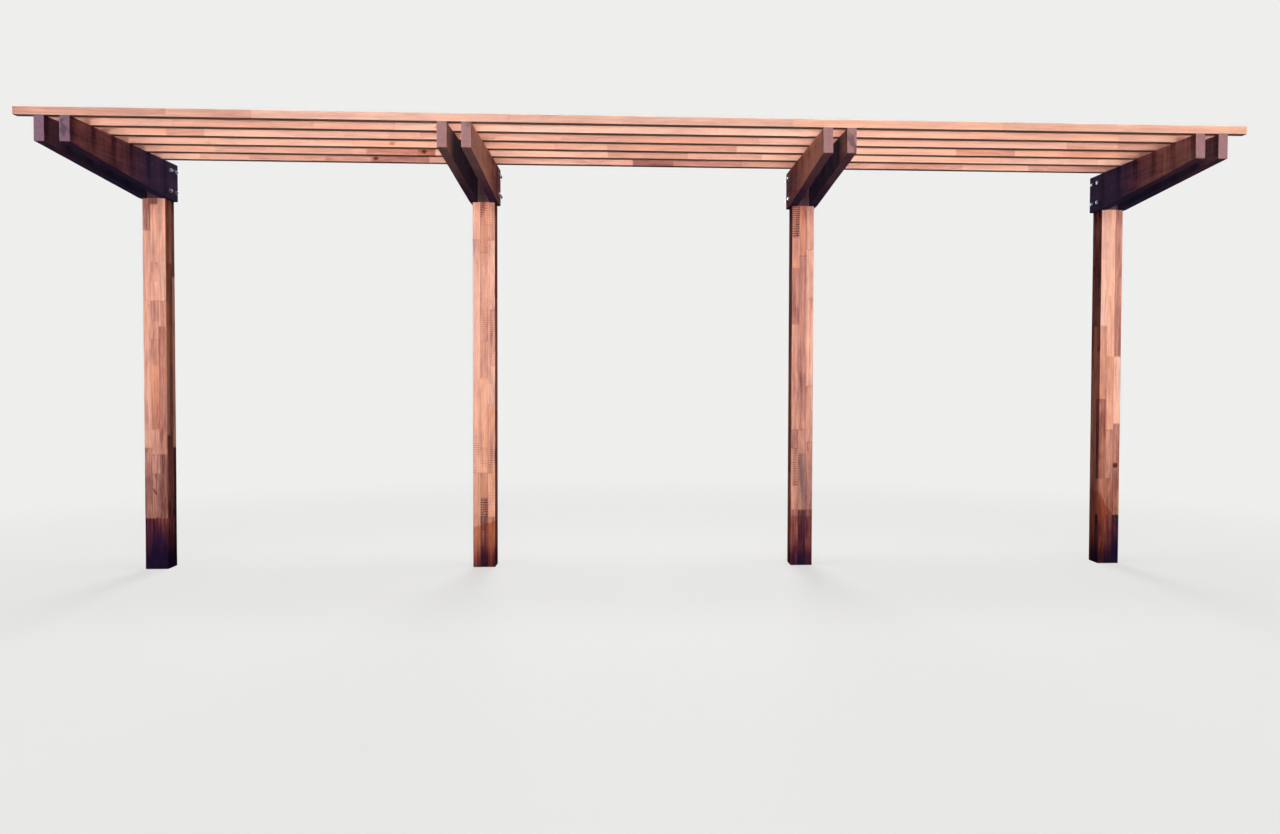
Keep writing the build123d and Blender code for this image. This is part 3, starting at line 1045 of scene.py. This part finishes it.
def buildPost(postNumber, look):
    # The shaft is a rounded square carried up to the ledges; the tongue is a narrower rectangle carried on
    # from there. The front and back places between the two saw cuts are shared by both.
    chance = np.random.default_rng(look["wearSeed"] + postNumber)
    half = postSide / 2
    halfTongue = tongueWidth / 2
    glueLine = staveWidth / 2
    edge = half - look["arris"]
    places = [place * millimetre for place in look["facePlaces"]]
    places += [glueLine - look["grooveWidth"], glueLine, glueLine + look["grooveWidth"], halfTongue, edge]
    places = np.array(sorted({-place for place in places} | set(places)))

    ring, ringArris = sectionRing(half, half, look["arris"], places, places)
    heights = np.arange(0, shoulderHeight, look["rowSpacing"])[1:]
    heights = np.concatenate([[0.0, look["footEase"]], heights, [shoulderHeight]])
    shrink = np.where(heights == 0, 1 - look["footEase"] / half, 1.0)
    shaft = surface(ring[:, 0] * shrink[:, None], ring[:, 1] * shrink[:, None], heights[:, None])
    amount = np.where(heights == shoulderHeight, 0.0, look["arrisWear"])
    wearEdges(shaft, (0, 1), ring, ringArris, heights, amount, chance)

    inner = places[np.abs(places) <= halfTongue + closeBy]
    reach = np.concatenate([[-half], places[1:-1], [half]])
    tongueRing = np.concatenate([side[:-1] for side in rectangle(halfTongue, half, inner, reach)])
    rise = np.linspace(shoulderHeight, boxOf(f"post_{postNumber}")[1][2], look["tongueRows"])
    tongue = surface(tongueRing[:, 0], tongueRing[:, 1], rise[:, None])

    groove(shaft, half, look)
    groove(tongue, half, look)
    points = np.concatenate([shaft.reshape(-1, 3), tongue.reshape(-1, 3)])
    offset = len(heights) * len(ring)
    arris = np.concatenate([np.tile(ringArris, len(heights)), np.zeros(len(points) - offset)])
    *shaftQuads, foot, unused = tubeFaces(len(heights), len(ring))
    *tongueQuads, unused, top = tubeFaces(len(rise), len(tongueRing))
    faces = shaftQuads + [face + offset for face in tongueQuads] + [foot, top + offset]
    # the two ledges: round the shaft's outer edge, then back along the foot of the tongue
    for side in (1, -1):
        outer = sideRun(ring, side, halfTongue)
        inside = sideRun(tongueRing, side, halfTongue)
        faces.append(np.concatenate([offset - len(ring) + outer, offset + inside[1:-1][::-1]]))
    points[:, :2] += postCentres[postNumber - 1][:2]
    points, faces, arris = weld(points, faces, arris)
    materials = [postMaterial(postNumber, look), endMaterial("postEnd", postNumber)]
    piece = makePiece(f"laminatedPost{postNumber}", points, faces, materials, 4, arris)
    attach(piece, "root")
    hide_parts(f"post_{postNumber}")


def buildRafter(name, look):
    # A rounded rectangle on edge carried from the tip back to the heel. Its top stays level; its lower edge
    # is a straight line from the tip's depth down to the full depth just in front of the post.
    low, high = boxOf(f"rafter_{name}")
    board = list(look["boards"]).index(name)
    chance = np.random.default_rng(look["wearSeed"] + board)
    fullDepth = high[2] - low[2]
    taperEnd = postLow[1] - look["levelRun"]
    ease = look["endEase"]
    radius = look["arris"]
    tapered = np.arange(low[1] + ease, taperEnd, look["rowSpacing"])
    level = np.arange(taperEnd, high[1] - ease, look["heelSpacing"])[1:]
    stations = np.concatenate([[low[1]], tapered, [taperEnd], level, [high[1] - ease, high[1]]])
    share = np.clip((stations - low[1]) / (taperEnd - low[1]), 0, 1)
    depth = look["tipDepth"] + (fullDepth - look["tipDepth"]) * share
    halfWide, halfTall = (high[0] - low[0]) / 2, fullDepth / 2
    across, down = look["facePlaces"]
    ring, ringArris = sectionRing(halfWide, halfTall, radius, evenPlaces(halfWide - radius, across),
                                  evenPlaces(halfTall - radius, down))
    # each point keeps its place in the arris and slides with the edge that it belongs to
    inset = halfTall - radius
    fraction = np.clip((ring[:, 1] + inset) / (2 * inset), 0, 1)
    rest = ring[:, 1] - (fraction * 2 * inset - inset)
    squeeze = squeezeOf(stations, ease)
    bottom = (high[2] - depth)[:, None]
    middle = (bottom + high[2]) / 2
    full = bottom + radius + fraction * (depth[:, None] - 2 * radius) + rest
    points = surface((low[0] + high[0]) / 2 + ring[:, 0] * (1 - squeeze / halfWide), stations[:, None],
                     middle + (full - middle) * (1 - squeeze / halfTall))
    wearEdges(points, (0, 2), ring, ringArris, stations, look["wander"], chance)
    # this tube runs along +Y, so its ring turns the other way
    faces = [face[::-1] for face in tubeFaces(len(stations), len(ring))]
    ending = "rafterEndDim" if name in look["dimTips"] else "rafterEnd"
    materials = [rafterMaterial(name, look, low, high), endMaterial(ending, board)]
    piece = makePiece(f"taperedRafter_{name}", points, faces, materials, 2, np.tile(ringArris, len(stations)))
    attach(piece, "root")
    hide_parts(f"rafter_{name}")


def screwPlaces(look):
    # one screw over the middle of each rafter, a little to one side or the other
    chance = np.random.default_rng(look["straySeed"])
    spots = np.array([np.mean(boxOf(f"rafter_{name}"), axis=0)[0] for name in rafterLook["boards"]])
    return spots + chance.uniform(-look["stray"], look["stray"], (battenCount, len(spots))) * millimetre


def buildBatten(battenNumber, look, screws):
    # A rounded rectangle carried along the row. Its faces stand in from straight by a slow sine wave, and the
    # top dips by a smooth step of the distance to each screw, down to a flat-bottomed countersink.
    low, high = boxOf(f"batten_{battenNumber}")
    chance = np.random.default_rng(look["wanderSeed"] + battenNumber)
    halfDeep, halfTall = (high[1] - low[1]) / 2, (high[2] - low[2]) / 2
    radius = look["arris"]
    ease = look["endEase"]
    around = np.array(look["sinkPlaces"]) * millimetre
    near = (screws[battenNumber - 1][:, None] + around).reshape(-1)
    even = np.arange(low[0] + ease, high[0] - ease, look["rowSpacing"])
    far = even[np.min(np.abs(even[:, None] - near[None, :]), axis=1) > look["sinkClear"]]
    stations = np.unique(np.concatenate([[low[0], high[0], high[0] - ease], far, near]))
    deepPlaces = np.concatenate([around, np.array(look["outerPlaces"]) * millimetre])
    deepPlaces = np.sort(np.clip(deepPlaces, -(halfDeep - radius), halfDeep - radius))
    tallPlaces = evenPlaces(halfTall - radius, look["facePlaces"])
    ring, ringArris = sectionRing(halfDeep, halfTall, radius, deepPlaces, tallPlaces)
    squeeze = squeezeOf(stations, ease)
    y = ring[:, 0] * (1 - squeeze / halfDeep)
    z = ring[:, 1] * (1 - squeeze / halfTall)
    # only the front and back faces wander, and only inwards
    phase = chance.uniform(0, math.tau)
    wave = look["wander"] * (1 + np.sin(math.tau * stations / look["wanderLength"] + phase)) / 2
    onSide = np.abs(ring[:, 0]) > halfDeep - halfRound * radius
    y = y - np.where(onSide, np.sign(ring[:, 0]) * wave[:, None], 0)
    onTop = ring[:, 1] > halfTall - closeBy
    for screw in screws[battenNumber - 1]:
        away = np.hypot(stations[:, None] - screw, ring[:, 0])
        step = np.clip((look["sinkRadius"] - away) / look["sinkEdge"], 0, 1)
        z = z - np.where(onTop, look["sinkDepth"] * step * step * (3 - 2 * step), 0)
    middle = (low + high) / 2
    points = surface(stations[:, None], middle[1] + y, middle[2] + z)
    faces = tubeFaces(len(stations), len(ring))
    materials = [battenMaterial(battenNumber, look, low, high), endMaterial("battenEnd", battenNumber)]
    arris = np.tile(ringArris, len(stations))
    piece = makePiece(f"roofBatten{battenNumber}", points, faces, materials, 2, arris)
    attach(piece, "root")
    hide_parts(f"batten_{battenNumber}")


# bolts, along X: the head is on the left, the nut on the right
boltLook = {
    "diameter": 10 * millimetre,
    "pitch": 1.5 * millimetre,
    "threadDepth": 0.85 * millimetre,
    "threadLength": 24 * millimetre,
    "threadRings": 7,  # rings of points to one turn of the thread
    "acrossFlats": 17 * millimetre,
    "headHeight": 6.4 * millimetre,
    "nutHeight": 8.4 * millimetre,
    "washerDiameter": 21 * millimetre,
    "washerHole": 11 * millimetre,
    "washerThickness": 2 * millimetre,
    "washerEase": 0.4 * millimetre,
    "pastNut": 5 * millimetre,
    "rim": (0.0, 0.3, 0.6, 0.9, 1.2),  # millimetres from the face, where a cone cuts the hexagon's corners
    "crown": 0.95,  # share of the width across flats where the bevel starts
    "collar": 0.4 * millimetre,  # the round of the head that bears on the washer
    "innerShare": 0.8,  # the ring on the flat of the head, as a share of where the bevel starts
    "threadLead": 0.2 * millimetre,
    "plainEnd": 1.0 * millimetre,
    "endShare": 1.2,  # how far in the bolt's end is, against the depth of its thread
    "boreGap": 0.05 * millimetre,
    "boreEase": 0.8 * millimetre,
    "nutTurn": 2.3,  # the nut is turned this many times as far as the head
    "columns": 48,
    "turnSeed": 20,
}


def hexRadius(angles, acrossFlats):
    # distance from the middle of a hexagon to its edge at each angle
    turned = np.mod(angles, math.radians(60)) - math.radians(30)
    return acrossFlats / 2 / np.cos(turned)


def turnedTube(stations, radii, angles):
    # points at each station along X, at the given radius for each angle
    return surface(stations[:, None], radii * np.cos(angles), radii * np.sin(angles))


def boltParts(look, pairWidth, turn):
    # Rings along X. A head or nut is a hexagon cut by a 30 degree cone. The thread is a triangle wave of
    # station over pitch less angle over a full turn. Washers and nuts are loops that come back on themselves.
    angles = np.arange(look["columns"]) / look["columns"] * math.tau
    even = np.ones((1, look["columns"]))
    flats = look["acrossFlats"]
    hexagon = hexRadius(angles + turn, flats)[None, :]
    bevelled = look["crown"] * flats / 2
    rim = np.array(look["rim"]) * millimetre
    cone = bevelled + rim * math.tan(math.radians(60))
    outer = pairWidth / 2
    washer = look["washerThickness"]
    headBack = -outer - washer
    headFace = headBack - look["headHeight"]
    shankRadius = look["diameter"] / 2
    end = outer + washer + look["nutHeight"] + look["pastNut"]
    threadStart = end - look["threadLength"]
    threadStations = np.arange(threadStart, end - look["plainEnd"], look["pitch"] / look["threadRings"])
    wave = np.mod(threadStations[:, None] / look["pitch"] - angles[None, :] / math.tau, 1.0)
    fade = np.clip((threadStations - threadStart) / (2 * look["pitch"]), 0, 1)[:, None]
    thread = shankRadius - look["threadDepth"] * np.abs(2 * wave - 1) * fade
    stations = np.concatenate([[headFace], headFace + rim, [headBack - look["collar"]] * 2,
                               [headBack, headBack, threadStart - look["threadLead"]], threadStations, [end]])
    tipRadius = shankRadius - look["threadDepth"] * look["endShare"]
    radii = np.concatenate([even * bevelled * look["innerShare"], np.minimum(hexagon, cone[:, None]), hexagon,
                            even * bevelled, even * bevelled, even * shankRadius, even * shankRadius, thread,
                            even * tipRadius])
    parts = [(turnedTube(stations, radii, angles), False)]

    def loop(profile, hexed):
        places, rings = np.array(profile).T
        return turnedTube(places, np.minimum(rings[:, None] * even, hexed), angles), True

    ease = look["washerEase"]
    wide, hole = look["washerDiameter"] / 2, look["washerHole"] / 2
    for start in (headBack, outer):
        back = start + washer
        parts.append(loop([(start, hole), (start, wide - ease), (start + ease, wide),
                           (back - ease, wide), (back, wide - ease), (back, hole)], wide))
    nutStart = outer + washer
    nutEnd = nutStart + look["nutHeight"]
    bore = shankRadius + look["boreGap"]
    parts.append(loop([(nutStart, bore), *zip(nutStart + rim, cone), (nutStart + 2 * rim[-1], flats),
                       (nutEnd - 2 * rim[-1], flats), *zip(nutEnd - rim[::-1], cone[::-1]),
                       (nutEnd, bore + look["boreEase"]), (nutEnd - look["boreEase"], bore)],
                      hexRadius(angles + turn * look["nutTurn"], flats)[None, :]))
    return parts


def joinParts(parts):
    # closed tubes become one list of points and faces: a loop joins its last ring to its first
    points, faces, start = [], [], 0
    for part, looped in parts:
        rows, columns = part.shape[:2]
        found = gridQuads(rows + 1, columns) % (rows * columns) if looped else tubeFaces(rows, columns)
        faces += [face + start for face in found]
        points.append(part.reshape(-1, 3))
        start += rows * columns
    return np.concatenate(points), faces


def buildBolts(postNumber, look, material):
    low, high = boxOf(f"bolts_{postNumber}")
    centre = postCentres[postNumber - 1]
    pairWidth = boxOf(f"rafter_{postNumber}_right")[1][0] - boxOf(f"rafter_{postNumber}_left")[0][0]
    washerHalf = look["washerDiameter"] / 2
    chance = np.random.default_rng(look["turnSeed"] + postNumber)
    parts = []
    for y in (low[1] + washerHalf, high[1] - washerHalf):
        for z in (low[2] + washerHalf, high[2] - washerHalf):
            for points, looped in boltParts(look, pairWidth, chance.uniform(0, math.radians(60))):
                parts.append((points + np.array([centre[0], y, z]), looped))
    points, faces = joinParts(parts)
    piece = makePiece(f"throughBolts{postNumber}", points, faces, [material], sharp=25)
    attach(piece, "root")
    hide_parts(f"bolts_{postNumber}")


# batten screws: countersunk heads with a six-lobed drive, sunk just below the top of the batten
screwLook = {
    "headTop": 0.35 * millimetre,  # below the top of the batten
    "lobes": 6,
    "lobeSwell": 0.16,
    # from the floor of the drive recess to the point: (kind of ring, its radius and its depth in millimetres)
    "rings": [("lobed", 1.425, 1.3), ("lobed", 1.9, 1.17), ("lobed", 1.976, 0), ("round", 4.171, 0),
              ("round", 4.3, 0.25), ("round", 2.3, 3.6), ("round", 2.3, 70), ("round", 0.46, 75)],
    "stray": 2,  # millimetres from the middle of the rafter, to either side
    "straySeed": 11,
    "columns": 24,
}


def buildScrews(look, screws, material):
    # rings round Z: those of the drive recess swell by a cosine of six times the angle, then come the flat
    # rim, the cone and the shank down to its point
    angles = np.arange(look["columns"]) / look["columns"] * math.tau
    kinds, radii, drops = zip(*look["rings"])
    lobed = np.array([[kind == "lobed"] for kind in kinds])
    swell = look["lobeSwell"] * np.cos(look["lobes"] * angles)
    radii = np.array(radii)[:, None] * (1 + swell * lobed) * millimetre
    depths = np.array(drops)[:, None] * millimetre
    shape = surface(radii * np.cos(angles), -radii * np.sin(angles), -depths)
    parts = []
    for battenNumber in range(1, battenCount + 1):
        low, high = boxOf(f"batten_{battenNumber}")
        for screw in screws[battenNumber - 1]:
            spot = np.array([screw, (low[1] + high[1]) / 2, high[2] - look["headTop"]])
            parts.append((shape + spot, False))
    points, faces = joinParts(parts)
    piece = makePiece("battenScrews", points, faces, [material], sharp=30)
    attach(piece, "root")


screws = screwPlaces(screwLook)
zinc = zincMaterial(zincLook)
for postNumber in range(1, postCount + 1):
    buildPost(postNumber, postLook)
print("posts built")
for name in rafterLook["boards"]:
    buildRafter(name, rafterLook)
print("rafters built")
for battenNumber in range(1, battenCount + 1):
    buildBatten(battenNumber, battenLook, screws)
print("battens built")
for postNumber in range(1, postCount + 1):
    buildBolts(postNumber, boltLook, zinc)
buildScrews(screwLook, screws, zinc)
print("bolts and screws built")


# studio
studioLook = {
    "floorSize": 80.0,
    "floorColour": (0.93, 0.93, 0.92, 1.0),
    "floorLift": 0.6,  # share of the pale backdrop that is mixed into the floor
    "floorBounce": (0.07, 0.066, 0.063, 1.0),  # what the floor sends back up to the timber
    "backdrop": (0.86, 0.86, 0.85, 1.0),
    "rowMiddle": 2.5,
    "fadeCentre": (2.5, -0.5, 0.0),  # from here, in metres, the floor fades into the backdrop
    "fadeStart": 1.2,
    "fadeEnd": 6.0,
    "ambient": 0.04,
    # each lamp's place, the point that it aims at, its size, its spread in degrees and its power in watts
    "lamps": {
        "front": ((2.5, -9.5, 0.4), (2.5, 0.0, 1.45), (9.5, 0.6), 36, 95),
        "high": ((2.5, -7.0, 6.6), (2.5, -0.6, 1.6), (5.0, 2.0), 180, 80),
        "above": ((2.5, -0.5, 10.0), (2.5, -0.5, 0.0), (8.0, 3.0), 80, 120),
        "behind": ((2.5, 20.0, 6.0), (2.5, 0.0, 1.2), (8.0, 3.5), 40, 290),
    },
}


def pickSurface(put, lighting, shown):
    # the camera, reflections and glass see the shown surface, and the timber is lit by the other one
    rays = put("ShaderNodeLightPath")
    seen = largest(rays["Is Camera Ray"], rays["Is Glossy Ray"], rays["Is Transmission Ray"])
    return put("ShaderNodeMixShader", {0: seen, 1: lighting, 2: shown})[0]


def makeFloor(look):
    half = look["floorSize"] / 2
    corners = np.array([(-half, -half, 0), (half, -half, 0), (half, half, 0), (-half, half, 0)], float)
    corners[:, 0] += postCentres[0][0] + look["rowMiddle"]
    mesh = bpy.data.meshes.new("studioFloor")
    mesh.from_pydata(corners.tolist(), [], [(0, 1, 2, 3)])
    floor = bpy.data.objects.new("studioFloor", mesh)
    bpy.context.collection.objects.link(floor)
    material, put, place = newMaterial("studioFloor")
    bounce = put("ShaderNodeBsdfDiffuse", {"Color": look["floorBounce"]})[0]
    pale = put("ShaderNodeBsdfDiffuse", {"Color": look["floorColour"]})[0]
    away = lengthOf(put, centred(put, place, look["fadeCentre"]))
    share = remap(away, look["fadeStart"], look["fadeEnd"], look["floorLift"], 1.0)
    glow = put("ShaderNodeEmission", {"Color": look["backdrop"]})[0]
    shown = put("ShaderNodeMixShader", {0: share, 1: pale, 2: glow})[0]
    put("ShaderNodeOutputMaterial", {"Surface": pickSurface(put, bounce, shown)})
    mesh.materials.append(material)


def makeWorld(look):
    world = bpy.data.worlds.new("studioWorld")
    world.use_nodes = True
    world.node_tree.nodes.clear()
    put = bench(world.node_tree)
    shown = put("ShaderNodeBackground", {"Color": look["backdrop"], "Strength": 1.0})[0]
    fill = put("ShaderNodeBackground", {"Color": (1.0, 1.0, 1.0, 1.0), "Strength": look["ambient"]})[0]
    put("ShaderNodeOutputWorld", {"Surface": pickSurface(put, fill, shown)})
    bpy.context.scene.world = world


def makeLamp(name, place, aim, size, spread, power):
    data = bpy.data.lights.new(f"{name}Lamp", "AREA")
    data.shape = "RECTANGLE"
    data.size, data.size_y = size
    data.spread = math.radians(spread)
    data.energy = power
    lamp = bpy.data.objects.new(f"{name}Lamp", data)
    turn = (Vector(aim) - Vector(place)).to_track_quat("-Z", "Y")
    lamp.matrix_world = Matrix.Translation(place) @ turn.to_matrix().to_4x4()
    lamp.visible_camera = False
    bpy.context.collection.objects.link(lamp)


makeFloor(studioLook)
makeWorld(studioLook)
for name, lamp in studioLook["lamps"].items():
    makeLamp(name, *lamp)
bpy.context.scene.view_settings.view_transform = "Standard"
print("studio lit")
